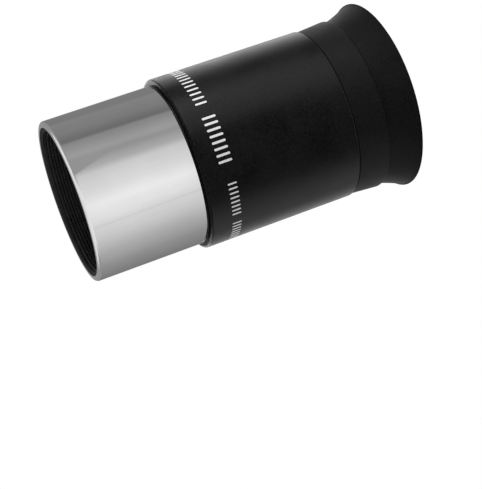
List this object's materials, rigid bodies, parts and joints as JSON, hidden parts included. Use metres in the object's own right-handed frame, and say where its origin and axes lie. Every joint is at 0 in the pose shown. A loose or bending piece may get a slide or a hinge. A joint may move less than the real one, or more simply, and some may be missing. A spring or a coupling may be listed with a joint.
{
  "type": "telescope eyepiece",
  "caption": "Push-fit telescope eyepiece: polished barrel, black housing with a lens group, and a flared rubber eyecup that folds down.",
  "frame": {"origin": "on the optical axis, in the plane where the bright barrel ends and the housing begins", "axes": "+Z along the optical axis towards the eye; +X through one of the key slots in the retaining rings; the part is the same all round but for those slots"},
  "size_m": [0.0378, 0.0378, 0.0658],
  "materials": {
    "polished_barrel": "polished, with fine lengthwise and turning marks",
    "black_anodised": "satin black anodised",
    "matt_black_metal": "matt black, against stray light",
    "coated_glass": "polished, faint purple anti-reflection coating",
    "clear_glass": "polished",
    "black_rubber": "matt moulded rubber",
    "white_print": "printed ink, plain bars with no lettering"
  },
  "bodies": {
    "housing": {"housing": "black_anodised", "lens_cell": "matt_black_metal", "field_lens_retainer": "matt_black_metal", "field_lens_flint": "coated_glass", "field_lens_crown": "clear_glass", "lens_spacer": "matt_black_metal", "eye_lens_crown": "clear_glass", "eye_lens_flint": "coated_glass", "eye_lens_retainer": "matt_black_metal", "eyecup_base": "black_rubber", "eyecup_flare": "black_rubber"},
    "field_stop": {"field_stop": "matt_black_metal"},
    "nosepiece": {"nosepiece": "polished_barrel"},
    "eyecup_rim": {"eyecup_rim": "black_rubber"}
  },
  "joints": [
    {"name": "eyecup_fold", "type": "slide", "parent": "housing", "child": "eyecup_rim", "axis": [0, 0, -1], "range_m": [0, 0.012], "deforming": ["eyecup_flare"]},
    {"name": "nosepiece_advance", "type": "slide", "parent": "housing", "child": "field_stop", "axis": [0, 0, -1], "range_m": [0, 0.0045]},
    {"name": "nosepiece_turn", "type": "hinge", "parent": "field_stop", "child": "nosepiece", "pos_m": [0, 0, 0], "axis": [0, 0, -1], "range_deg": [0, 2160]}
  ],
  "couplings": [
    {"joint": "nosepiece_advance", "follows": "nosepiece_turn", "m_per_rad": 0.00011937}
  ]
}
